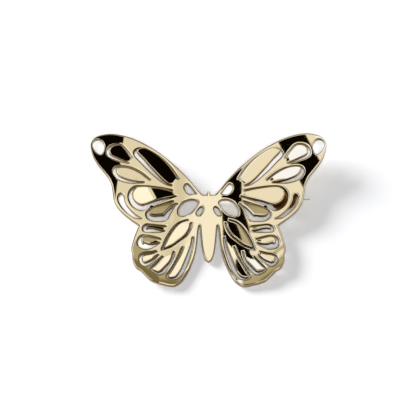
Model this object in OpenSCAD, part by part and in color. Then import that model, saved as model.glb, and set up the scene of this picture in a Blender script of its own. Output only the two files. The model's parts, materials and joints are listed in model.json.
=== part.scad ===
// Butterfly brooch: one pierced and bent sheet with a hinged pin and a turning safety catch on its back.
// Sheet coordinates: X across the wings, Y along the body with the head at +Y, Z = 0 on top of the body.
// rest_pose() then leans the brooch on its findings and hind wings, as it lies on a table.

/* [Butterfly sheet] */
// Wing span from tip to tip, mm
wing_span = 58; // [50:1:66]
// Thickness of the sheet, mm
sheet_t = 1.6; // [1.4:0.1:1.7]
// Slope of the wings outside the root bend, degrees
wing_slope = 8; // [6:0.5:9]
// How fast the slope grows toward the wing tips, per mm
tip_curl = 0.023; // [0.01:0.001:0.03]

/* [Raised petals] */
// Slope of a petal above the wing around it
petal_lift = 0.14; // [0.08:0.01:0.2]
// Cut beside a petal, mm
side_gap = 0.28; // [0.22:0.02:0.34]

/* [Pin] */
// Diameter of the pin wire, mm
pin_d = 0.9; // [0.8:0.05:1]
// Length of the ground point, mm
point_len = 9.6; // [9.5:0.1:10.5]
// Distance from the pin's axis up to the top of the body, mm
pin_drop = 3.3; // [3.2:0.1:3.6]
// Thickness of the flattened eye, mm
eye_t = 0.8; // [0.7:0.05:0.9]

/* [Hinge joint] */
// Diameter of the hinge rivet, mm
rivet_d = 0.8; // [0.7:0.05:0.9]
// Thickness of each ear, mm
ear_t = 0.6; // [0.5:0.05:0.7]

/* [Safety catch] */
// Diameter of the catch's solder disc, mm
catch_disc_d = 6.8; // [6:0.1:7]
// Outer diameter of the catch's open ring, mm
ring_d = 2.9; // [2.8:0.1:3.1]
// Length of the open ring along the pin, mm
ring_len = 2.4; // [2:0.1:2.8]
// Length of the thumb lever from the sleeve's axis, mm
lever_len = 2; // [1.6:0.1:2.2]

/* [Hidden] */
$fn = 48;

// Outlines are drawn on a grid whose unit is a share of the span
unit = wing_span / 236;
curve_steps = 3;

// The wing rises along a bend at its root, runs straight, and curls up at its tip
root_start = 2.3;
root_end = 9.6;
tip_start = 21;
wing_end = wing_span / 2 + 0.5;
bend_strips = 6;
slope = tan(wing_slope);

// Lie of the brooch on a table
rest_lean = 8.55;
rest_shift = [0, 0.35, 4.17];

// Places of the findings on the back
pin_y = 3.95;
pivot_x = -8.3;
point_x = 25.1;
catch_x = 18.4;
catch_disc_y = 3.4;
solder_t = 0.5;
solder_gap = 0.03;
ring_wall = 0.45;
fit_gap = 0.04;
ear_r = 1.35;
eye_r = 0.95;
base_len = 2.6;
lever_t = 0.6;
sleeve_r = ring_d / 2 - ring_wall - fit_gap;
sleeve_bore_r = pin_d / 2 + 0.08;
sleeve_len = ring_len + 2.4;
ear_gap = eye_t + 2 * fit_gap;
base_w = ear_gap + 2 * ear_t;

// Half outline from the head spike round the wings to the tip of the abdomen, third value 1 on a corner
half_edge = [
    [1, 20, 1], [2, 16.5, 1], [4.5, 16.5], [7, 17.5], [12, 23], [18.5, 31.5], [28.5, 42.5],
    [38.5, 51.5], [50, 60.5], [61.5, 67.5], [73, 73], [85, 76.5], [97, 77.5], [106.5, 75.5],
    [112.5, 72.5], [116.5, 68], [118, 62.5], [116, 53], [111.5, 45], [104.5, 36.5], [100, 30.5],
    [97, 23.5], [95.5, 15], [94, 6.5], [89, -1.5], [82, -8], [76, -12.5], [69, -17, 1],
    [72, -24.5], [74.5, -32.5], [76.5, -42], [75.5, -48.5], [75, -55], [72, -61.5], [67, -65],
    [62.5, -69.5], [57, -74.5], [50, -77], [45, -78], [38.5, -79.5], [32.5, -79], [26, -74],
    [20, -64], [15.5, -53], [12.5, -41.5], [11, -29], [10, -19.5], [9, -15], [8.5, -18.5],
    [7.5, -31], [6, -42.5], [3.5, -50.5], [0, -53.5]];

// Plain openings of one wing
tip_hole = [[111, 70.5], [115, 68], [116, 63], [113, 57.5], [108.5, 54.5], [106, 57],
            [104.5, 63.5], [107, 69]];
margin_slot = [[87, 15], [89.5, 12], [89.5, 8], [88, 4], [84, -1.5], [78.5, -6.5], [73, -9.5],
               [66.5, -10, 1], [71.5, -7], [77, -2.5], [82, 3.5], [84.5, 9.5], [85, 13]];
root_oval = [[10, 10.5], [15, 12.5], [20, 12], [25, 9.5], [29, 4], [31, -2], [30.5, -6.5],
             [26, -6.5], [20, -4.5], [14, 0.5], [10, 6]];
shoulder_hole = [[20.5, 28.5], [23, 27.5], [24, 23.5], [22, 19], [19, 17], [12.5, 18, 1]];
thorax_drop = [[6.5, 4.5], [9, 3.5], [11.5, 0], [12, -4], [10, -5.5], [7, -2.5], [5.5, 1.5]];
OPENINGS = [tip_hole, margin_slot, root_oval, shoulder_hole, thorax_drop];

// Openings that hold a petal, from one slit's end round the free end to the other slit's end
apex_petal = [[76.5, 53.5], [81, 60.5], [88, 67], [96.5, 66], [102, 60], [100.5, 53.5], [91, 50],
              [79.5, 47]];
outer_petal = [[58, 31.5], [67, 38.5], [78, 43.5], [88, 44.5], [94, 42.5], [95.5, 37], [91.5, 31],
               [82, 27.5], [72, 27], [64, 27.5]];
costal_petal = [[29.5, 33], [32.5, 38.5], [38, 46], [46, 54], [55, 60], [64, 64], [70, 63.5],
                [74, 60.5], [74, 56], [68, 49.5], [61.5, 42.5], [55, 36.5], [48.5, 31], [42, 27],
                [36.5, 25.5]];
wide_petal = [[35.5, 21.5], [45, 23], [55, 24], [65, 24.5], [72, 23.5], [77.5, 19], [79.5, 13],
              [78, 6.5], [73.5, 1], [67, -1.5], [60.5, 0.5], [52, 5.5], [42, 10.5], [32, 14.5]];
inner_petal = [[34.5, 10.5], [44, 7], [52, 4], [58.5, 1], [61.5, -3.5], [61, -8.5], [56, -12],
               [48, -12], [42, -10.5], [39, -5], [35, 2], [30.5, 7]];
hind_slot_petal = [[42, -16.5], [50, -16], [58, -15.5], [63, -17], [65, -20.5], [63.5, -23.5],
                   [55, -23.5], [48, -23], [43.5, -22]];
hind_side_petal = [[47, -30], [55, -28], [62.5, -27], [67.5, -29], [70, -34], [69, -39], [65, -41],
                   [59, -41], [53, -38], [48, -34.5]];
hind_corner_petal = [[51, -43], [57.5, -45], [64, -46.5], [67.5, -49], [68.5, -53.5], [66.5, -57.5],
                     [63, -59.5], [58.5, -57.5], [53.5, -53], [49, -47]];
hind_foot_petal = [[45.5, -48], [50, -53], [55.5, -59.5], [57, -62], [55, -65], [49.5, -67.5],
                   [44.5, -66], [40, -60.5], [36, -53.5], [33.5, -43]];
hind_long_petal = [[26, -37.5], [29.5, -46.5], [34, -55], [39, -64], [41.5, -68.5], [40, -71.5],
                   [35, -72.5], [29.5, -70.5], [24.5, -64], [20.5, -54], [17.5, -44], [15.5, -34.5],
                   [15, -27.5]];
hind_lens_petal = [[20.5, -9], [27.5, -11.5], [33, -16], [38, -23], [42.5, -31.5], [46.5, -42, 1],
                   [35.5, -37.5], [28.5, -32], [22, -26], [18, -19], [16.5, -12.5]];
// Each petal with the width of its cut below the free end, mm
PETALS = [[apex_petal, 0.6], [outer_petal, 0.8], [costal_petal, 0.75], [wide_petal, 1.3],
          [inner_petal, 1.3], [hind_slot_petal, 1], [hind_side_petal, 1.5], [hind_corner_petal, 0.9],
          [hind_foot_petal, 0.8], [hind_long_petal, 0.8], [hind_lens_petal, side_gap]];

// Smooth curves through a few points
function flat(p) = [p.x, p.y];
function heading(pts, i, closed) =
    let (n = len(pts),
         before = flat(pts[closed ? (i + n - 1) % n : max(i - 1, 0)]),
         after = flat(pts[closed ? (i + 1) % n : min(i + 1, n - 1)]),
         here = flat(pts[i]))
    len(pts[i]) == 3 ? [0, 0] : (after - before) / (norm(after - here) + norm(here - before));
function between(a, b, da, db, f) =
    let (f2 = f * f, f3 = f2 * f)
    (2 * f3 - 3 * f2 + 1) * a + (f3 - 2 * f2 + f) * da + (3 * f2 - 2 * f3) * b + (f3 - f2) * db;
function curve(pts, closed) =
    let (n = len(pts), spans = closed ? n : n - 1)
    [for (i = [0 : spans - 1])
        let (j = (i + 1) % n, a = flat(pts[i]), b = flat(pts[j]), run = norm(b - a),
             da = run * heading(pts, i, closed), db = run * heading(pts, j, closed))
        for (s = [0 : curve_steps - 1]) unit * between(a, b, da, db, s / curve_steps),
     if (!closed) unit * flat(pts[n - 1])];
function reversed(list) = [for (i = [len(list) - 1 : -1 : 0]) list[i]];
function mirrored(list) = [for (p = list) [-p.x, p.y]];

// Height and slope of the wing at a distance from the body's axis
function wing_height(x) =
    let (root = min(x, root_end) - root_start)
    (x > root_start ? slope * root * root / (2 * (root_end - root_start)) : 0)
    + slope * max(0, x - root_end) + tip_curl * pow(max(0, x - tip_start), 2) / 2;
function wing_grade(x) =
    slope * min(1, max(0, (x - root_start) / (root_end - root_start)))
    + tip_curl * max(0, x - tip_start);
function stations(from, to, count) = [for (i = [0 : count]) from + (to - from) * i / count];
WING_STATIONS = concat(stations(root_start, root_end, bend_strips),
                       stations(tip_start, wing_end, bend_strips));

// Petal outline: the opening's curve moved in by the cut, which is widest past the free end
function inward(line, i) =
    let (t = line[min(i + 1, len(line) - 1)] - line[max(i - 1, 0)])
    [t.y, -t.x] / norm(t);
cut_skew = 1.8;
function cut_width(f, widest) = side_gap + (widest - side_gap) * pow(sin(180 * pow(f, cut_skew)), 2);
function clear_of(p, line) = min([for (q = line) norm(p - q)]);
function petal_curve(line, widest) =
    let (last = len(line) - 1)
    [for (i = [0 : last])
        let (cut = cut_width(i / last, widest), p = line[i] + cut * inward(line, i))
        if (clear_of(p, line) > 0.95 * cut) p];
function reach(line, root) = max([for (p = line) norm(p - root)]);
function free_end(line, root) = [for (p = line) if (norm(p - root) >= reach(line, root) - 0.001) p][0];

module rest_pose() {
    translate(rest_shift) rotate([rest_lean, 0, 0]) children();
}

// Cross-section of the bent sheet, drawn along the span and run along the body
module bent_strip() {
    half = [for (x = WING_STATIONS) [x, wing_height(x)]];
    top = concat(reversed(mirrored(half)), half);
    bottom = [for (p = reversed(top)) [p.x, p.y - sheet_t]];
    rotate([90, 0, 0])
        linear_extrude(wing_span, center = true) polygon(concat(top, bottom));
}

module pierced_outline() {
    half = curve(half_edge, false);
    difference() {
        polygon(concat(half, reversed(mirrored(half))));
        for (side = [0, 1])
            mirror([side, 0]) {
                for (hole = OPENINGS) polygon(curve(hole, true));
                for (petal = PETALS) polygon(curve(petal[0], false));
            }
    }
}

// One tongue of the sheet, bent up along a fold just inside its narrow end
module raised_petal(points, widest_cut) {
    line = curve(points, false);
    last = len(line) - 1;
    root = (line[0] + line[last]) / 2;
    tip = free_end(line, root);
    along = (tip - root) / norm(tip - root);
    hold = 0.5;
    fold = root - hold * along;
    edge = petal_curve(line, widest_cut);
    edge_last = len(edge) - 1;
    grade = [wing_grade(fold.x) + petal_lift * along.x, petal_lift * along.y];
    tilt = atan(norm(grade));
    slab_t = sheet_t * cos(tilt);
    intersection() {
        translate([0, 0, -wing_span / 4])
            linear_extrude(wing_span / 2)
                polygon(concat(edge, [edge[edge_last] - hold * along, edge[0] - hold * along]));
        translate([fold.x, fold.y, wing_height(fold.x)])
            rotate(a = tilt, v = [grade.y, -grade.x, 0])
                translate([0, 0, -slab_t / 2])
                    cube([wing_span, wing_span, slab_t], center = true);
    }
}

module butterfly_sheet() {
    color("gold") rest_pose() {
        intersection() {
            bent_strip();
            translate([0, 0, -wing_span / 4]) linear_extrude(wing_span / 2) pierced_outline();
        }
        for (side = [0, 1])
            mirror([side, 0, 0])
                for (petal = PETALS) raised_petal(petal[0], petal[1]);
    }
}

// Axis of the pin, along X from the hinge's pivot
module on_pin_axis(x) {
    translate([x, pin_y, -pin_drop]) children();
}

// Room behind the sheet at a distance from the body's axis, on the slope of the wing there
module on_back(x) {
    side = x < 0 ? -1 : 1;
    translate([x, pin_y, wing_height(abs(x)) - sheet_t])
        rotate([0, -side * atan(wing_grade(abs(x))), 0]) children();
}

module joint_base() {
    color("darkgoldenrod") rest_pose()
        on_back(pivot_x)
            translate([0, 0, -solder_t / 2 - solder_gap]) cube([base_len, base_w, solder_t], center = true);
}

// Two ears that stand down from the base and carry the rivet
module joint_ears() {
    color("goldenrod") rest_pose()
        difference() {
            for (side = [-1, 1])
                on_pin_axis(pivot_x)
                    translate([0, side * (ear_gap + ear_t) / 2, 0]) ear();
            on_back(pivot_x)
                translate([0, 0, -solder_t - solder_gap + ear_r * 2])
                    cube([ear_r * 6, base_w * 2, ear_r * 4], center = true);
            on_pin_axis(pivot_x)
                rotate([90, 0, 0]) cylinder(d = rivet_d, h = base_w * 2, center = true);
        }
}

module ear() {
    rotate([90, 0, 0]) cylinder(r = ear_r, h = ear_t, center = true);
    translate([0, 0, ear_r]) cube([2 * ear_r, ear_t, 2 * ear_r], center = true);
}

module hinge_rivet() {
    head_t = 0.3;
    color("gold") rest_pose()
        on_pin_axis(pivot_x)
            rotate([90, 0, 0]) {
                cylinder(d = rivet_d - fit_gap, h = base_w, center = true);
                for (side = [-1, 1])
                    translate([0, 0, side * (base_w + head_t) / 2])
                        cylinder(d = rivet_d * 1.6, h = head_t, center = true);
            }
}

// Wire with a drilled flat eye at the hinge and a ground point at the other end
module pin_stem() {
    tip_r = 0.08;
    neck_w = pin_d * 0.66;
    neck = eye_r * 1.6;
    shank = point_x - pivot_x - point_len;
    color("gold") rest_pose()
        on_pin_axis(pivot_x)
            difference() {
                union() {
                    rotate([90, 0, 0]) cylinder(r = eye_r, h = eye_t, center = true);
                    translate([0, -neck_w / 2, -neck_w / 2]) cube([neck * 1.5, neck_w, neck_w]);
                    translate([neck, 0, 0]) rotate([0, 90, 0]) cylinder(d = pin_d, h = shank - neck);
                    translate([shank, 0, 0])
                        rotate([0, 90, 0]) cylinder(d1 = pin_d, d2 = 2 * tip_r, h = point_len);
                }
                rotate([90, 0, 0]) cylinder(d = rivet_d + fit_gap, h = eye_t * 2, center = true);
            }
}

module catch_disc() {
    color("saddlebrown") rest_pose()
        translate([0, catch_disc_y - pin_y, 0])
            on_back(catch_x)
                translate([0, 0, -solder_t]) cylinder(d = catch_disc_d, h = solder_t);
}

// Ring on a post, open toward the foot of the brooch so that the pin swings in
module catch_ring() {
    post_w = 1.6;
    color("goldenrod") rest_pose()
        difference() {
            on_pin_axis(catch_x) {
                rotate([0, 90, 0]) cylinder(d = ring_d, h = ring_len, center = true);
                translate([0, 0, ring_d]) cube([ring_len, post_w, ring_d * 2], center = true);
            }
            on_pin_axis(catch_x) {
                rotate([0, 90, 0]) cylinder(r = sleeve_r + fit_gap, h = ring_len * 2, center = true);
                mouth(ring_len * 2);
            }
            on_back(catch_x)
                translate([0, 0, -solder_t + ring_d * 2])
                    cube([ring_d * 4, ring_d * 4, ring_d * 4], center = true);
        }
}

// Way in for the pin, straight down
module mouth(length) {
    width = 2 * sleeve_bore_r;
    translate([-length / 2, -width / 2, -ring_d]) cube([length, width, ring_d]);
}

// Slotted sleeve that turns in the ring and closes its mouth
module catch_sleeve() {
    collar_t = 0.5;
    color("gold") rest_pose()
        on_pin_axis(catch_x)
            difference() {
                union() {
                    rotate([0, 90, 0]) cylinder(r = sleeve_r, h = sleeve_len, center = true);
                    for (side = [-1, 1])
                        translate([side * (ring_len / 2 + fit_gap + collar_t / 2), 0, 0])
                            rotate([0, 90, 0])
                                cylinder(r = sleeve_r + ring_wall / 2, h = collar_t, center = true);
                }
                rotate([0, 90, 0]) cylinder(r = sleeve_bore_r, h = sleeve_len * 2, center = true);
                mouth(sleeve_len * 2);
            }
}

// Thumb lever on the outer end of the sleeve
module sleeve_lever() {
    hub_x = sleeve_len / 2 - lever_t / 2;
    color("gold") rest_pose()
        on_pin_axis(catch_x + hub_x)
            difference() {
                rotate([0, 90, 0]) linear_extrude(lever_t, center = true) lever_outline();
                rotate([0, 90, 0]) cylinder(r = sleeve_r, h = lever_t * 2, center = true);
                mouth(lever_t * 2);
            }
}

module lever_outline() {
    knob_r = 0.55;
    neck_w = 0.9;
    circle(r = sleeve_r + ring_wall / 2);
    translate([0, lever_len]) circle(r = knob_r);
    translate([-neck_w / 2, 0]) square([neck_w, lever_len]);
}

butterfly_sheet();
joint_base();
joint_ears();
hinge_rivet();
pin_stem();
catch_disc();
catch_ring();
catch_sleeve();
sleeve_lever();
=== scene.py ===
import json
import math

import bmesh
import bpy
from bpy.props import FloatProperty, FloatVectorProperty, PointerProperty
from mathutils import Matrix, Vector, kdtree


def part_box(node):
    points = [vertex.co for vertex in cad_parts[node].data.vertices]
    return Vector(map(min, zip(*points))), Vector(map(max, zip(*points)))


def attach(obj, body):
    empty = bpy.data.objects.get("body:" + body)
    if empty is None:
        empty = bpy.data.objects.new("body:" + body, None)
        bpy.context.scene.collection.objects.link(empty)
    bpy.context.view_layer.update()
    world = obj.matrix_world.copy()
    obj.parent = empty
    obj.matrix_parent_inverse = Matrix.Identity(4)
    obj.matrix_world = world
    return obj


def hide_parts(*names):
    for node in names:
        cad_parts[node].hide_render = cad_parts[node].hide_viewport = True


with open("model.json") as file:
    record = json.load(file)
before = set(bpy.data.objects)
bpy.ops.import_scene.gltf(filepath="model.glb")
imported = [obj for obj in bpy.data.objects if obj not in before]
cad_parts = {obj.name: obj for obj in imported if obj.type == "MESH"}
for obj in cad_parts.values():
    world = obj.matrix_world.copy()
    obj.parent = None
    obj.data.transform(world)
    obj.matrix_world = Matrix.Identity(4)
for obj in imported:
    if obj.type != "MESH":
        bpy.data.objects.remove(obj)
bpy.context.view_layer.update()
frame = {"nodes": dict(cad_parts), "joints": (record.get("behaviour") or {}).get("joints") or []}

bl_info = {
    "name": "Butterfly brooch",
    "version": (1, 0, 0),
    "blender": (4, 5, 0),
    "location": "View3D > Sidebar > Brooch",
    "description": "Dresses the brooch's solids with polished metal, rounded rims and a studio",
    "category": "Object",
}

MM = 0.001
SHEET_LOW, SHEET_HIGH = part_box("butterfly_sheet")
SPAN = (SHEET_HIGH.x - SHEET_LOW.x) / MM
# Steps of the drawing grid across the span, and the length of one in mm
GRID_SPAN = 236
UNIT = SPAN / GRID_SPAN

# The pin's hinge gives the lean of the brooch on the table and the place of the sheet
PIN_HINGE = next(j for j in frame["joints"] if j["name"] == "pin_hinge")
LEAN = math.atan2(PIN_HINGE["axis"][2], PIN_HINGE["axis"][1])
# Where the hinge lies from the middle of the sheet, mm
HINGE_ON_SHEET = Vector((-8.3, 3.95, -3.3))
TURN = Matrix.Rotation(LEAN, 4, "X")
SHIFT = Vector(PIN_HINGE["pos_m"]) - TURN @ (HINGE_ON_SHEET * MM)
TO_TABLE = Matrix.Translation(SHIFT) @ TURN @ Matrix.Scale(MM, 4)

# Bend of the wings, mm from the body's axis
ROOT_START, ROOT_END = 2.3, 9.6
WING_SLOPE = math.tan(math.radians(8))
# Slope that the wing gains per mm, and how much longer the root bend is on the hind wings
WING_SPREAD = 0.0008
HIND_ROOT_SPREAD = 2.2
# Left and right: direction and start of the tip's curl, and its rate per mm
TIP_CURLS = ((0.99, 0.12, 22.0, 0.03), (0.889, 0.459, 21.5, 0.018))
# Left and right: where the hind margin starts to turn up, and its rate per mm, later outward
HIND_CURL_SLANT = 0.7
HIND_CURLS = ((-11.0, 0.022), (-11.6, 0.02))
# Width of a slit at its ends, mm, and how far its widest place lies toward its end
SIDE_GAP = 0.28
CUT_SKEW = 1.8
# Crosswise hollow of a petal, per mm, left and right
BOWS = {"hind_lens": (0, 0.012)}
CURVE_STEPS = 5
# Spacing of the cuts across and along the sheet, mm
GRID_STEPS = (0.5, 0.7)
# Half width over which a slope is measured, mm
SLOPE_REACH = 0.02
# Rounding of the rims: turn of the face beside them, share of the metal between two cuts that
# one rim may take, and how squarely another cut has to face it to count
PILLOW_TURN = 0.24
ROOM_SHARE = 0.4
FACING = 0.75
# Share of a round rim's radius that lies outside its middle
RIM_MIDDLE = 0.293

# Camera
CAMERA_ELEVATION = math.radians(63.45)
CAMERA_DISTANCE = 0.6
CAMERA_LENS = 211.3
AIM_ASIDE, AIM_UP = -0.00012, 0.00061
TABLE_SIZE = 1.5

# Studio: lamps with their place, strength and spread in degrees
LAMPS = (("soft_key", (-0.75, 0.32, 0.62), 2.4, 28), ("front_fill", (0, -0.45, 0.9), 1.68, 12))
# What matt surfaces see of the room, and what the metal sees of the flags and near the horizon
ROOM_LEVEL = 0.2
FLAG_LEVEL = 0.003
HORIZON_LEVEL = 0.5
# Softness of the edges of zones and flags in the mirrored ceiling
ZONE_EDGE = 0.01
FLAG_EDGE = 0.006
# Where the flat right wing mirrors the ceiling
RIGHT_WING_SEES = (-0.265, 0.325)

# Half outline from the head spike round the wings to the abdomen, third value 1 on a corner
HALF_EDGE = [
    (1, 20, 1), (2, 16.5, 1), (4.5, 16.5), (7, 17.5), (12, 23), (18.5, 31.5), (28.5, 42.5),
    (38.5, 51.5), (50, 60.5), (61.5, 67.5), (73, 73), (85, 76.5), (97, 77.5), (106.5, 75.5),
    (112.5, 72.5), (116.5, 68), (118, 62.5), (116, 53), (111.5, 45), (104.5, 36.5), (100, 30.5),
    (97, 23.5), (95.5, 15), (94, 6.5), (89, -1.5), (82, -8), (76, -12.5), (69, -17, 1),
    (72, -24.5), (74.5, -32.5), (76.5, -42), (75.5, -48.5), (75, -55), (72, -61.5), (67, -65),
    (62.5, -69.5), (57, -74.5), (50, -77), (45, -78), (38.5, -79.5), (32.5, -79), (26, -74),
    (20, -64), (15.5, -53), (12.5, -41.5), (11, -29), (10, -19.5), (9, -15), (8.5, -18.5),
    (7.5, -31), (6, -42.5), (3.5, -50.5), (0, -53.5)]

OPENINGS = {
    "tip_hole": [(111, 70.5), (115, 68), (116, 63), (113, 57.5), (108.5, 54.5), (106, 57),
                 (104.5, 63.5), (107, 69)],
    "margin_slot": [(87, 15), (89.5, 12), (89.5, 8), (88, 4), (84, -1.5), (78.5, -6.5), (73, -9.5),
                    (66.5, -10, 1), (71.5, -7), (77, -2.5), (82, 3.5), (84.5, 9.5), (85, 13)],
    "root_oval": [(11, 10), (15, 12), (20, 11.5), (25, 8.8), (28.7, 4), (30.3, -1.5), (29, -5.5),
                  (25, -5.8), (20, -4), (14.5, 0.8), (11, 5.8)],
    "shoulder_hole": [(20.5, 28.5), (23, 27.5), (24, 23.5), (22, 19), (19, 17), (12.5, 18, 1)],
    "thorax_drop": [(6.5, 4.5), (9, 3.5), (11.5, 0), (12, -4), (10, -5.5), (7, -2.5), (5.5, 1.5)],
}

# Each petal: its opening from one slit's end round the free end to the other slit's end,
# the widest cut in mm, and the bends of the left and of the right tongue: the slope outward and
# toward the head against the wing, with the length in mm after which the next bend follows
PETALS = {
    "apex": ([(76.5, 53.5), (81, 60.5), (88, 67), (96.5, 66), (102, 60), (100.5, 53.5), (91, 50),
              (79.5, 47)], 0.6, [(0.13, 0.06)], [(0.2, 0.06)]),
    "outer": ([(58, 31.5), (67, 38.5), (78, 43.5), (88, 44.5), (94, 42.5), (95.5, 37), (91.5, 31),
               (82, 27.5), (72, 27), (64, 27.5)], 0.8, [(0.02, 0.01)], [(0.2, -0.02)]),
    "costal": ([(29.5, 33), (32.5, 38.5), (38, 46), (46, 54), (55, 60), (64, 64), (70, 63.5),
                (74, 60.5), (74, 56), (68, 49.5), (61.5, 42.5), (55, 36.5), (48.5, 31), (42, 27),
                (36.5, 25.5)], 0.75, [(0.1, 0.095)], [(0.13, 0.13)]),
    "wide": ([(35.5, 21.5), (45, 23), (55, 24), (65, 24.5), (72, 23.5), (77.5, 19), (79.5, 13),
              (78, 6.5), (73.5, 1), (67, -1.5), (60.5, 0.5), (52, 5.5), (42, 10.5), (32, 14.5)],
             1.3, [(0.178, -0.09, 2.8), (-0.062, 0.031)], [(0.11, -0.03)]),
    "inner": ([(34.5, 10.5), (44, 7), (52, 4), (58.5, 1), (61.5, -3.5), (61, -8.5), (56, -12),
               (48, -12), (42, -10.5), (39, -5), (35, 2), (30.5, 7)],
              1.3, [(0.115, -0.13)], [(0.115, -0.13)]),
    "hind_slot": ([(42, -16.5), (50, -16), (58, -15.5), (63, -17), (65, -20.5), (63.5, -23.5),
                   (55, -23.5), (48, -23), (43.5, -22)], 1.0, [(0.1, 0.026)], [(0.115, -0.04)]),
    "hind_side": ([(47, -30), (55, -28), (62.5, -27), (67.5, -29), (70, -34), (69, -39), (65, -41),
                   (59, -41), (53, -38), (48, -34.5)], 1.5, [(0.025, -0.06)], [(0.118, -0.03)]),
    "hind_corner": ([(51, -43), (57.5, -45), (64, -46.5), (67.5, -49), (68.5, -53.5),
                     (66.5, -57.5), (63, -59.5), (58.5, -57.5), (53.5, -53), (49, -47)],
                    0.9, [(-0.03, -0.06)], [(0.107, -0.054)]),
    "hind_foot": ([(45.5, -48), (50, -53), (55.5, -59.5), (57, -62), (55, -65), (49.5, -67.5),
                   (44.5, -66), (40, -60.5), (36, -53.5), (33.5, -43)],
                  0.8, [(-0.03, -0.074)], [(-0.057, -0.138)]),
    "hind_long": ([(26, -37.5), (29.5, -46.5), (34, -55), (39, -64), (41.5, -68.5), (40, -71.5),
                   (35, -72.5), (29.5, -70.5), (24.5, -64), (20.5, -54), (17.5, -44),
                   (15.5, -34.5), (15, -27.5)], 0.8, [(-0.047, -0.052)], [(-0.043, -0.047)]),
    "hind_lens": ([(20.5, -9), (27.5, -11.5), (33, -16), (38, -23), (42.5, -31.5), (46.5, -42, 1),
                   (35.5, -37.5), (28.5, -32), (22, -26), (18, -19), (16.5, -12.5)],
                  SIDE_GAP, [(-0.02, -0.045)], [(0.03, -0.055)]),
}


class BroochSizes(bpy.types.PropertyGroup):
    """Sizes of the dressed sheet and of the rounding on the findings."""

    sheet_thickness: FloatProperty(
        name="Sheet thickness", description="Thickness of the pierced sheet",
        default=0.0016, min=0.0008, max=0.002, unit="LENGTH")
    rim_radius: FloatProperty(
        name="Rim radius", description="Rounding along every cut edge of the sheet",
        default=0.00018, min=0.00005, max=0.0003, unit="LENGTH")
    pillow_width: FloatProperty(
        name="Pillow width", description="Soft fall of the polished face beside every rim",
        default=0.00036, min=0.0001, max=0.0008, unit="LENGTH")
    fold_length: FloatProperty(
        name="Fold length", description="Length over which a petal bends up from its narrow end",
        default=0.001, min=0.0004, max=0.004, unit="LENGTH")
    findings_edge: FloatProperty(
        name="Findings edge", description="Rounding of the edges of the hinge and the catch",
        default=0.00006, min=0.00002, max=0.00012, unit="LENGTH")


class BroochColours(bpy.types.PropertyGroup):
    """Colours of the plated metal and of the stage."""

    sheet_gold: FloatVectorProperty(
        name="Sheet gold", description="Polished plate of the butterfly",
        subtype="COLOR", size=3, default=(0.93, 0.81, 0.56), min=0, max=1)
    # Painted shade: dark brown for the rims and cut walls, standing in for their shaded reflection
    painted_wall_shade: FloatVectorProperty(
        name="Painted wall shade", description="Dark brown painted as shade on the sheet's rims and cut walls",
        subtype="COLOR", size=3, default=(0.18, 0.09, 0.016), min=0, max=1)
    wire_gold: FloatVectorProperty(
        name="Wire gold", description="Drawn wire of the pin and the turning sleeve",
        subtype="COLOR", size=3, default=(0.86, 0.7, 0.42), min=0, max=1)
    # Painted shade: the findings' gold darkened to brown, as they lie in shade under the sheet
    dark_findings_painted_shade: FloatVectorProperty(
        name="Findings with painted shade", description="Satin plate of the hinge and the catch, darkened as painted shade",
        subtype="COLOR", size=3, default=(0.34, 0.19, 0.045), min=0, max=1)
    floor_white: FloatVectorProperty(
        name="Floor", description="Pale table under the brooch",
        subtype="COLOR", size=3, default=(0.9, 0.905, 0.92), min=0, max=1)


# Outlines

def heading(points, i, closed):
    """Direction of a curve at one of its points, none at a corner."""
    if len(points[i]) == 3:
        return Vector((0, 0))
    n = len(points)
    here = Vector(points[i][:2])
    before = Vector(points[(i - 1) % n if closed else max(i - 1, 0)][:2])
    after = Vector(points[(i + 1) % n if closed else min(i + 1, n - 1)][:2])
    return (after - before) / ((after - here).length + (here - before).length)


def curve(points, closed):
    """Smooth line through a few grid points, in mm."""
    n = len(points)
    line = []
    for i in range(n if closed else n - 1):
        j = (i + 1) % n
        a, b = Vector(points[i][:2]), Vector(points[j][:2])
        run = (b - a).length
        da, db = run * heading(points, i, closed), run * heading(points, j, closed)
        for step in range(CURVE_STEPS):
            f = step / CURVE_STEPS
            f2, f3 = f * f, f * f * f
            line.append(UNIT * ((2 * f3 - 3 * f2 + 1) * a + (f3 - 2 * f2 + f) * da
                                + (3 * f2 - 2 * f3) * b + (f3 - f2) * db))
    if not closed:
        line.append(UNIT * Vector(points[-1][:2]))
    return line


def moved_in(line, widest, share):
    """The line moved toward the petal by a share of its cut, clear of the line itself."""
    last = len(line) - 1
    moved = []
    for i, p in enumerate(line):
        t = (line[min(i + 1, last)] - line[max(i - 1, 0)]).normalized()
        wave = math.sin(math.pi * (i / last) ** CUT_SKEW)
        cut = share * (SIDE_GAP + (widest - SIDE_GAP) * wave * wave)
        q = p + cut * Vector((t.y, -t.x))
        if min((q - other).length for other in line) > 0.95 * cut:
            moved.append(q)
    return moved


def mirrored(line):
    """The same line on the other wing."""
    return [Vector((-p.x, p.y)) for p in reversed(line)]


def inside(p, line):
    """True if a point lies inside a closed line."""
    crossed = False
    for a, b in zip(line, line[1:] + line[:1]):
        if (a.y > p.y) != (b.y > p.y) and p.x < a.x + (b.x - a.x) * (p.y - a.y) / (b.y - a.y):
            crossed = not crossed
    return crossed


def eased(low, high, value):
    """Goes smoothly from 0 at low to 1 at high."""
    f = min(1, max(0, (value - low) / (high - low)))
    return f * f * (3 - 2 * f)


def wing_height(p):
    """Height of the sheet's top, mm, with its root bend and its slope."""
    x = abs(p.x)
    end = ROOT_END + HIND_ROOT_SPREAD * eased(2, -6, p.y)
    root = max(0, min(x, end) - ROOT_START)
    height = WING_SLOPE * root * root / (2 * (end - ROOT_START))
    return height + WING_SLOPE * max(0, x - end) + WING_SPREAD * max(0, x - end) ** 2 / 2


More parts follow.
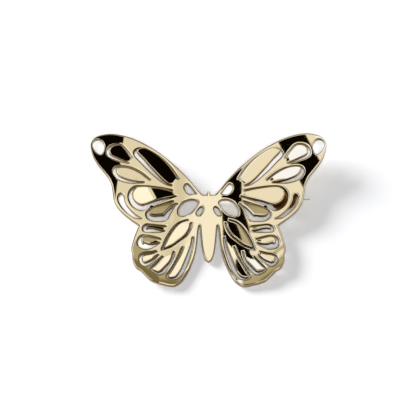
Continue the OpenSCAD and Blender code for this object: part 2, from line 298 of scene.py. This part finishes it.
def margin_lift(p):
    """Curled tip and turned-up hind margin, mm, which the flat petals inside don't follow."""
    x, side = abs(p.x), p.x > 0
    out, up, start, curl = TIP_CURLS[side]
    height = curl * max(0, out * x + up * p.y - start) ** 2 / 2
    start, curl = HIND_CURLS[side]
    past = start - p.y + HIND_CURL_SLANT * max(0, x - 12)
    return height + curl * eased(3, 7, x) * eased(-5, -8, p.y) * max(0, past) ** 2 / 2


class Tongue:
    """A petal of one wing: its area up to the middle of its slit, and how it bends up."""

    def __init__(self, points, widest, bends, side, bow):
        self.bow = bow
        line = curve(points, False)
        area = moved_in(line, widest, 0.5)
        self.area = mirrored(area) if side < 0 else area
        self.low = Vector((min(p.x for p in self.area), min(p.y for p in self.area)))
        self.high = Vector((max(p.x for p in self.area), max(p.y for p in self.area)))
        start, end = self.area[0], self.area[-1]
        self.root = (start + end) / 2
        self.across = (end - start).normalized()
        self.ahead = Vector((-self.across.y, self.across.x))
        self.bends = []
        begin, before = 0, Vector((0, 0))
        for out, up, *length in bends:
            slope = Vector((side * out, up))
            change = slope - before
            self.bends.append((begin, change.dot(self.ahead), change.dot(self.across)))
            before = slope
            begin += length[0] if length else 0

    def holds(self, p):
        """True for a point on this tongue."""
        return (self.low.x < p.x < self.high.x and self.low.y < p.y < self.high.y
                and inside(p, self.area))

    def lift(self, p, fold):
        """Height of the tongue above the wing at a point, mm."""
        height = 0
        along = (p - self.root).dot(self.ahead)
        aside = (p - self.root).dot(self.across)
        for begin, rise, roll in self.bends:
            ahead = max(0, along - begin)
            run = fold if begin == 0 else 3 * fold
            bent = ahead * ahead / (2 * run) if ahead < run else ahead - run / 2
            height += rise * bent + roll * eased(0, 2 * run, ahead) * aside
        return height + self.bow * eased(0, 3 * fold, along) * aside * aside / 2


# Meshes

def add_loop(bm, line):
    """Closed loop of edges, flat at height 0."""
    verts = [bm.verts.new((p.x, p.y, 0)) for p in line]
    return [bm.edges.new((a, b)) for a, b in zip(verts, verts[1:] + verts[:1])]


def sheet_loops():
    """Outline, plain openings and the slit round every petal of both wings."""
    half = curve(HALF_EDGE, False)
    loops = [half + mirrored(half)[1:]]
    for points in OPENINGS.values():
        line = curve(points, True)
        loops += [line, mirrored(line)]
    for points, widest, _, _ in PETALS.values():
        line = curve(points, False)
        slit = line + list(reversed(moved_in(line, widest, 1)))
        loops += [slit, mirrored(slit)]
    return loops


def cut_grid(bm, low, high, step, axis):
    """Cuts the whole mesh along evenly spaced planes, for smooth bends."""
    normal = Vector((1, 0, 0)) if axis == 0 else Vector((0, 1, 0))
    for i in range(1, int((high - low) / step)):
        geom = bm.verts[:] + bm.edges[:] + bm.faces[:]
        bmesh.ops.bisect_plane(bm, geom=geom, dist=1e-5, plane_co=normal * (low + i * step),
                               plane_no=normal)


def finish_mesh(bm, name, material, body, nodes):
    """Makes a piece of a mesh and sets it in place of the solids that it stands for."""
    mesh = bpy.data.meshes.new(name)
    bm.to_mesh(mesh)
    bm.free()
    mesh.materials.append(material)
    piece = bpy.data.objects.new(name, mesh)
    bpy.context.scene.collection.objects.link(piece)
    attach(piece, body)
    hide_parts(*nodes)
    return piece


# Finishes

def new_material(name):
    """Empty node material, with its nodes, links and shader."""
    material = bpy.data.materials.new(name)
    material.use_nodes = True
    nodes, links = material.node_tree.nodes, material.node_tree.links
    return material, nodes, links, nodes["Principled BSDF"]


def plated_metal(name, colour, roughness, ripple, scratch, cut=None):
    """Polished plate with faint polishing lines, a barely uneven surface and, when given, painted
    shade on rims and cut walls.
    """
    material, nodes, links, shader = new_material(name)
    shader.inputs["Base Color"].default_value = (*colour, 1)
    shader.inputs["Metallic"].default_value = 1
    place = nodes.new("ShaderNodeTexCoord")
    haze = nodes.new("ShaderNodeTexNoise")
    haze.inputs["Scale"].default_value = 260
    haze.inputs["Detail"].default_value = 4
    links.new(place.outputs["Object"], haze.inputs["Vector"])
    polish = nodes.new("ShaderNodeMapRange")
    polish.inputs["To Min"].default_value = roughness * 0.7
    polish.inputs["To Max"].default_value = roughness * 1.3
    links.new(haze.outputs["Fac"], polish.inputs["Value"])
    links.new(polish.outputs["Result"], shader.inputs["Roughness"])
    stretch = nodes.new("ShaderNodeMapping")
    stretch.inputs["Scale"].default_value = (6000, 500, 6000)
    links.new(place.outputs["Object"], stretch.inputs["Vector"])
    lines = nodes.new("ShaderNodeTexNoise")
    lines.inputs["Scale"].default_value = 1
    links.new(stretch.outputs["Vector"], lines.inputs["Vector"])
    fine = nodes.new("ShaderNodeBump")
    fine.inputs["Strength"].default_value = scratch
    fine.inputs["Distance"].default_value = 0.00001
    links.new(lines.outputs["Fac"], fine.inputs["Height"])
    swell = nodes.new("ShaderNodeTexNoise")
    swell.inputs["Scale"].default_value = 180
    links.new(place.outputs["Object"], swell.inputs["Vector"])
    wave = nodes.new("ShaderNodeBump")
    wave.inputs["Strength"].default_value = ripple
    wave.inputs["Distance"].default_value = 0.0001
    links.new(swell.outputs["Fac"], wave.inputs["Height"])
    links.new(fine.outputs["Normal"], wave.inputs["Normal"])
    links.new(wave.outputs["Normal"], shader.inputs["Normal"])
    # Painted shade: dark brown mixed in by the rim's turn, over the rounded rims and the cut walls
    if cut:
        turn = nodes.new("ShaderNodeAttribute")
        turn.attribute_name = "rim_turn"
        wall = nodes.new("ShaderNodeMapRange")
        wall.inputs["From Min"].default_value = 0.15
        wall.inputs["From Max"].default_value = 1.05
        links.new(turn.outputs["Fac"], wall.inputs["Value"])
        plate = nodes.new("ShaderNodeMix")
        plate.data_type = "RGBA"
        plate.inputs["A"].default_value = (*colour, 1)
        plate.inputs["B"].default_value = (*cut, 1)
        links.new(wall.outputs["Result"], plate.inputs["Factor"])
        links.new(plate.outputs["Result"], shader.inputs["Base Color"])
    return material


class BROOCH_OT_sheet(bpy.types.Operator):
    """Pierced and bent butterfly with rounded rims and raised petals"""

    bl_idname = "brooch.sheet"
    bl_label = "Butterfly sheet"

    def execute(self, context):
        sizes, colours = context.scene.brooch_sizes, context.scene.brooch_colours
        thick, rim = sizes.sheet_thickness / MM, sizes.rim_radius / MM
        bm = bmesh.new()
        layers = rim_layers(bm)
        edges = []
        for loop in sheet_loops():
            edges += add_loop(bm, loop)
        bmesh.ops.triangle_fill(bm, use_beauty=True, edges=edges, normal=(0, 0, 1))
        round_rim(bm, layers, rim, sizes.pillow_width / MM)
        for axis, step in enumerate(GRID_STEPS):
            cut_grid(bm, -SPAN / 2, SPAN / 2, step, axis)
        extruded = bmesh.ops.extrude_face_region(bm, geom=bm.faces[:], use_keep_orig=True)
        under = set(g for g in extruded["geom"] if isinstance(g, bmesh.types.BMVert))
        normals = bend_sheet(bm, layers, under, thick, sizes.fold_length / MM)
        bmesh.ops.recalc_face_normals(bm, faces=bm.faces[:])
        bmesh.ops.transform(bm, matrix=TO_TABLE, verts=bm.verts[:])
        # Polished gold with painted shade on the rims and cut walls
        gold = plated_metal("polished_sheet_gold", colours.sheet_gold, 0.035, 0.03, 0.02,
                            colours.painted_wall_shade)
        piece = finish_mesh(bm, "polished_butterfly", gold, "brooch",
                            ["butterfly_sheet"])
        piece.data.shade_smooth()
        piece.data.normals_split_custom_set_from_vertices(normals)
        return {"FINISHED"}


def rim_layers(bm):
    """What each vertex keeps: depth below the top, turn, room inward, way out and first place."""
    for name in ("rim_drop", "rim_turn", "rim_room"):
        bm.verts.layers.float.new(name)
    for name in ("rim_out", "rim_place"):
        bm.verts.layers.float_vector.new(name)
    flat, way = bm.verts.layers.float, bm.verts.layers.float_vector
    return flat["rim_drop"], flat["rim_turn"], flat["rim_room"], way["rim_out"], way["rim_place"]


def round_rim(bm, layers, rim, pillow):
    """Rings inside every cut edge: the rounded rim, then a soft fall of the polished face."""
    drop, turn, room, out, place = layers
    fall = PILLOW_TURN * pillow / 2
    rings = [(0, rim + fall, math.pi / 2),
             (RIM_MIDDLE * rim, RIM_MIDDLE * rim + fall, math.pi / 4),
             (rim, fall, PILLOW_TURN),
             (rim + pillow, 0, 0)]
    inner = bm.faces[:]
    tree = kdtree.KDTree(len(bm.verts))
    for i, v in enumerate(bm.verts):
        tree.insert(v.co, i)
        v[out] = outward(v)
        v[place] = v.co
    tree.balance()
    for v in bm.verts:
        gap = 2 * (rim + pillow)
        for co, _, distance in tree.find_range(v.co, gap):
            if distance > 0 and (co - v.co).dot(v[out]) < -FACING * distance:
                gap = min(gap, distance)
        v[room] = min(1, ROOM_SHARE * gap / (rim + pillow))
        v[drop], v[turn] = rings[0][1:]
    for width, depth, angle in rings[1:]:
        bmesh.ops.inset_region(bm, faces=inner, use_boundary=True, use_even_offset=False,
                               thickness=1e-4, depth=0)
        for v in set(v for f in inner for v in f.verts):
            v[drop], v[turn] = depth, angle
            v.co = v[place] - width * v[room] * v[out]


def outward(v):
    """Direction out of the metal, in the sheet's plane, at a vertex of a cut edge."""
    way = Vector((0, 0, 0))
    for e in v.link_edges:
        if e.is_boundary:
            side = (e.verts[1].co - e.verts[0].co).cross(Vector((0, 0, 1))).normalized()
            inner = e.link_faces[0].calc_center_median() - e.verts[0].co
            way += -side if side.dot(inner) > 0 else side
    return way.normalized()


def bend_sheet(bm, layers, under, thick, fold):
    """Bends the flat sheet at the wing roots, the tips and the petals' folds.

    Returns the normal of every vertex: the polished face's own, turned outward on the rims.
    """
    drop, turn, _, out, _ = layers
    tongues = [Tongue(points, widest, bends[side > 0], side, BOWS.get(name, (0, 0))[side > 0])
               for name, (points, widest, *bends) in PETALS.items() for side in (-1, 1)]
    along_x, along_y = Vector((SLOPE_REACH, 0)), Vector((0, SLOPE_REACH))
    normals = []
    for v in bm.verts:
        p = Vector((v.co.x, v.co.y))
        tongue = next((t for t in tongues if t.holds(p)), None)

        def top(q):
            return wing_height(q) + (tongue.lift(q, fold) if tongue else margin_lift(q))

        face = Vector((top(p - along_x) - top(p + along_x),
                       top(p - along_y) - top(p + along_y), 2 * SLOPE_REACH)).normalized()
        if v in under:
            v.co.z = top(p) - thick + v[drop]
            face = -face
        else:
            v.co.z = top(p) - v[drop]
        normal = math.cos(v[turn]) * face + math.sin(v[turn]) * v[out]
        normals.append(TURN.to_3x3() @ normal.normalized())
    return normals


def dressed_copy(node, name, material, body, edge):
    """A solid with its sharp edges rounded over."""
    bm = bmesh.new()
    bm.from_mesh(frame["nodes"][node].data)
    bmesh.ops.scale(bm, vec=(1 / MM,) * 3, verts=bm.verts[:])
    bmesh.ops.remove_doubles(bm, verts=bm.verts[:], dist=0.0005)
    bmesh.ops.dissolve_limit(bm, angle_limit=math.radians(0.5), verts=bm.verts[:],
                             edges=bm.edges[:])
    sharp = [e for e in bm.edges if e.is_manifold and e.calc_face_angle() > math.radians(35)]
    bmesh.ops.bevel(bm, geom=sharp, offset=edge, offset_type="OFFSET", affect="EDGES", segments=2,
                    profile=0.5, material=-1, clamp_overlap=True)
    bmesh.ops.scale(bm, vec=(MM,) * 3, verts=bm.verts[:])
    piece = finish_mesh(bm, name, material, body, [node])
    piece.data.shade_smooth()
    even = piece.modifiers.new("Even shading", "WEIGHTED_NORMAL")
    even.weight = 80
    return piece


class BROOCH_OT_hinge(bpy.types.Operator):
    """Base, ears and rivet of the pin's hinge"""

    bl_idname = "brooch.hinge"
    bl_label = "Hinge"

    def execute(self, context):
        sizes, colours = context.scene.brooch_sizes, context.scene.brooch_colours
        edge = sizes.findings_edge / MM
        # Satin findings gold, darkened to brown as painted shade
        satin = plated_metal("satin_painted_shade_findings", colours.dark_findings_painted_shade, 0.24, 0.1, 0.2)
        drawn = plated_metal("drawn_wire_gold", colours.wire_gold, 0.12, 0.05, 0.15)
        dressed_copy("joint_base", "hinge_base_plate", satin, "brooch", edge)
        dressed_copy("joint_ears", "hinge_ear_pair", satin, "brooch", edge)
        dressed_copy("hinge_rivet", "riveted_axle", drawn, "brooch", edge)
        return {"FINISHED"}


class BROOCH_OT_pin(bpy.types.Operator):
    """Pin wire with its flat eye and ground point"""

    bl_idname = "brooch.pin"
    bl_label = "Pin"

    def execute(self, context):
        edge = context.scene.brooch_sizes.findings_edge / MM
        drawn = bpy.data.materials["drawn_wire_gold"]
        dressed_copy("pin_stem", "pin_wire", drawn, "pin", edge / 2)
        return {"FINISHED"}


class BROOCH_OT_catch(bpy.types.Operator):
    """Disc, open ring, turning sleeve and lever of the safety catch"""

    bl_idname = "brooch.catch"
    bl_label = "Safety catch"

    def execute(self, context):
        edge = context.scene.brooch_sizes.findings_edge / MM
        # The findings' satin material, darkened to brown as painted shade
        satin = bpy.data.materials["satin_painted_shade_findings"]
        drawn = bpy.data.materials["drawn_wire_gold"]
        dressed_copy("catch_disc", "catch_solder_disc", satin, "brooch", edge)
        dressed_copy("catch_ring", "catch_open_ring", satin, "brooch", edge)
        dressed_copy("catch_sleeve", "catch_turning_sleeve", drawn, "sleeve", edge / 2)
        dressed_copy("sleeve_lever", "catch_thumb_lever", drawn, "sleeve", edge)
        return {"FINISHED"}


class BROOCH_OT_stage(bpy.types.Operator):
    """Camera, pale table and studio light"""

    bl_idname = "brooch.stage"
    bl_label = "Stage"

    def execute(self, context):
        self.place_camera(context.scene)
        self.lay_table(context.scene)
        self.light_studio(context.scene)
        context.scene.view_settings.view_transform = "Standard"
        return {"FINISHED"}

    def place_camera(self, scene):
        """Above the tail, looking down at the sheet as the photograph does."""
        rise, run = math.sin(CAMERA_ELEVATION), math.cos(CAMERA_ELEVATION)
        back = Vector((0, -run, rise))
        aim = SHIFT + Vector((AIM_ASIDE, 0, 0)) + Vector((0, rise, run)) * AIM_UP
        data = bpy.data.cameras.new("studio_camera")
        data.sensor_width = 36
        data.lens = CAMERA_LENS
        data.clip_start = 0.01
        camera = bpy.data.objects.new("studio_camera", data)
        camera.location = aim + back * CAMERA_DISTANCE
        camera.rotation_mode = "QUATERNION"
        camera.rotation_quaternion = (-back).to_track_quat("-Z", "Y")
        scene.collection.objects.link(camera)
        scene.camera = camera

    def lay_table(self, scene):
        """Matt pale table that keeps the brooch's shadow."""
        bm = bmesh.new()
        bmesh.ops.create_grid(bm, x_segments=1, y_segments=1, size=TABLE_SIZE)
        mesh = bpy.data.meshes.new("pale_table")
        bm.to_mesh(mesh)
        bm.free()
        material, _, _, shader = new_material("pale_table_paint")
        shader.inputs["Base Color"].default_value = (*scene.brooch_colours.floor_white, 1)
        shader.inputs["Roughness"].default_value = 0.9
        shader.inputs["Specular IOR Level"].default_value = 0
        mesh.materials.append(material)
        table = bpy.data.objects.new("pale_table", mesh)
        scene.collection.objects.link(table)

    def light_studio(self, scene):
        """A soft key from the left, and a fill from the front for the table under the openings."""
        scene.world = studio_world()
        for name, away, strength, spread in LAMPS:
            lamp = bpy.data.lights.new(name, "SUN")
            lamp.energy = strength
            lamp.angle = math.radians(spread)
            sun = bpy.data.objects.new(name, lamp)
            sun.location = away
            sun.rotation_mode = "QUATERNION"
            sun.rotation_quaternion = (-Vector(away)).to_track_quat("-Z", "Y")
            sun.visible_glossy = False
            scene.collection.objects.link(sun)


def studio_world():
    """White studio whose lamps and black flags show only in the polished metal."""
    world = bpy.data.worlds.new("studio")
    world.use_nodes = True
    nodes, links = world.node_tree.nodes, world.node_tree.links

    def put(socket, value):
        if isinstance(value, bpy.types.NodeSocket):
            links.new(value, socket)
        else:
            socket.default_value = value

    def calc(operation, a, b):
        node = nodes.new("ShaderNodeMath")
        node.operation = operation
        put(node.inputs[0], a)
        put(node.inputs[1], b)
        return node.outputs[0]

    def step(value, low, high):
        node = nodes.new("ShaderNodeMapRange")
        node.interpolation_type = "SMOOTHSTEP"
        put(node.inputs["Value"], value)
        node.inputs["From Min"].default_value = low
        node.inputs["From Max"].default_value = high
        return node.outputs["Result"]

    def band(value, low, high, soft=ZONE_EDGE):
        rising = step(value, low - soft, low + soft)
        falling = step(value, high - soft, high + soft)
        return calc("SUBTRACT", rising, falling)

    def mix(share, a, b):
        kept = calc("MULTIPLY", calc("SUBTRACT", 1, share), a)
        return calc("ADD", kept, calc("MULTIPLY", share, b))

    place = nodes.new("ShaderNodeTexCoord")
    level = nodes.new("ShaderNodeVectorRotate")
    level.rotation_type = "X_AXIS"
    level.inputs["Angle"].default_value = -LEAN
    links.new(place.outputs["Generated"], level.inputs["Vector"])
    split = nodes.new("ShaderNodeSeparateXYZ")
    links.new(level.outputs["Vector"], split.inputs["Vector"])
    height = calc("MAXIMUM", split.outputs["Z"], 0.02)
    u = calc("DIVIDE", split.outputs["X"], height)
    w = calc("DIVIDE", split.outputs["Y"], height)
    # Level of the ceiling: tan over the wings, white above the body, dim far back
    left, right = u, calc("MULTIPLY", u, -1)
    light = mix(step(left, 0.03, 0.16), 1.0, 0.72)
    light = mix(step(left, 0.18, 0.28), light, 0.82)
    light = mix(step(right, 0.03, 0.16), light, 0.9)
    light = mix(calc("MULTIPLY", band(u, -0.02, 0.235), step(w, 0.36, 0.39)), light, 1.06)
    light = mix(calc("MULTIPLY", band(u, 0.0, 0.21), band(w, 0.1, 0.285)), light, 1.12)
    light = mix(calc("MULTIPLY", band(u, -0.36, -0.2), step(w, 0.4, 0.43)), light, 0.5)
    light = mix(calc("MULTIPLY", step(left, 0.24, 0.26), step(w, 0.36, 0.42)), light, 0.45)
    light = mix(step(w, 0.52, 0.58), light, 0.45)
    light = mix(step(w, 0.64, 0.72), light, 0.2)
    # Dark room in front and far aside, which the rims show
    light = mix(step(calc("MULTIPLY", w, -1), 0.02, 0.25), light, 0.4)
    light = mix(step(calc("ABSOLUTE", u, 0), 1.1, 1.4), light, 0.3)
    # Flags over the right root, the right tip and the left tip
    out, up = TIP_CURLS[1][:2]
    du, dw = calc("SUBTRACT", u, RIGHT_WING_SEES[0]), calc("SUBTRACT", w, RIGHT_WING_SEES[1])
    along = calc("ADD", calc("MULTIPLY", du, -out), calc("MULTIPLY", dw, -up))
    aside = calc("ADD", calc("MULTIPLY", du, -up), calc("MULTIPLY", dw, out))
    flags = [
        ((u, -0.215, -0.03), (w, 0.17, 0.6)),
        ((along, 0.045, 0.29), (aside, -0.05, 0.14)),
        ((u, 0.322, 0.9), (calc("SUBTRACT", w, u), -0.7, 0.05)),
    ]
    for across, deep in flags:
        flag = calc("MULTIPLY", band(*across, FLAG_EDGE), band(*deep, FLAG_EDGE))
        light = mix(flag, light, FLAG_LEVEL)
    light = mix(step(split.outputs["Z"], 0.2, 0.45), HORIZON_LEVEL, light)
    # Two cool white lamps, which the brightest petals show
    far_lamp = calc("MULTIPLY", band(right, 0.62, 1.1), band(w, 0, 0.58, 0.02))
    back_lamp = calc("MULTIPLY", band(u, -0.17, 0), band(w, 0.6, 0.85))
    lamp = calc("MAXIMUM", far_lamp, back_lamp)
    ray = nodes.new("ShaderNodeLightPath")
    tint = nodes.new("ShaderNodeCombineXYZ")
    for channel, depth, cool in (("X", 1, 1.02), ("Y", 1.1, 1.12), ("Z", 1.5, 1.5)):
        seen = mix(lamp, calc("POWER", light, depth), cool)
        seen = mix(ray.outputs["Is Glossy Ray"], ROOM_LEVEL, seen)
        put(tint.inputs[channel], mix(ray.outputs["Is Camera Ray"], seen, 1.0))
    links.new(tint.outputs["Vector"], nodes["Background"].inputs["Color"])
    return world


class BROOCH_PT_panel(bpy.types.Panel):
    """Lists the brooch's steps, sizes and colours."""

    bl_idname = "BROOCH_PT_panel"
    bl_label = "Butterfly brooch"
    bl_space_type = "VIEW_3D"
    bl_region_type = "UI"
    bl_category = "Brooch"

    def draw(self, context):
        for step in STEPS:
            self.layout.operator(step.bl_idname)
        for group in (context.scene.brooch_sizes, context.scene.brooch_colours):
            for name in group.__annotations__:
                self.layout.prop(group, name)


STEPS = (BROOCH_OT_sheet, BROOCH_OT_hinge, BROOCH_OT_pin, BROOCH_OT_catch, BROOCH_OT_stage)
CLASSES = (BroochSizes, BroochColours, *STEPS, BROOCH_PT_panel)


def register():
    for cls in CLASSES:
        bpy.utils.register_class(cls)
    bpy.types.Scene.brooch_sizes = PointerProperty(type=BroochSizes)
    bpy.types.Scene.brooch_colours = PointerProperty(type=BroochColours)


def unregister():
    del bpy.types.Scene.brooch_colours
    del bpy.types.Scene.brooch_sizes
    for cls in reversed(CLASSES):
        bpy.utils.unregister_class(cls)


def main():
    register()
    bpy.ops.brooch.sheet()
    bpy.ops.brooch.hinge()
    bpy.ops.brooch.pin()
    bpy.ops.brooch.catch()
    bpy.ops.brooch.stage()


if __name__ == "__main__":
    main()
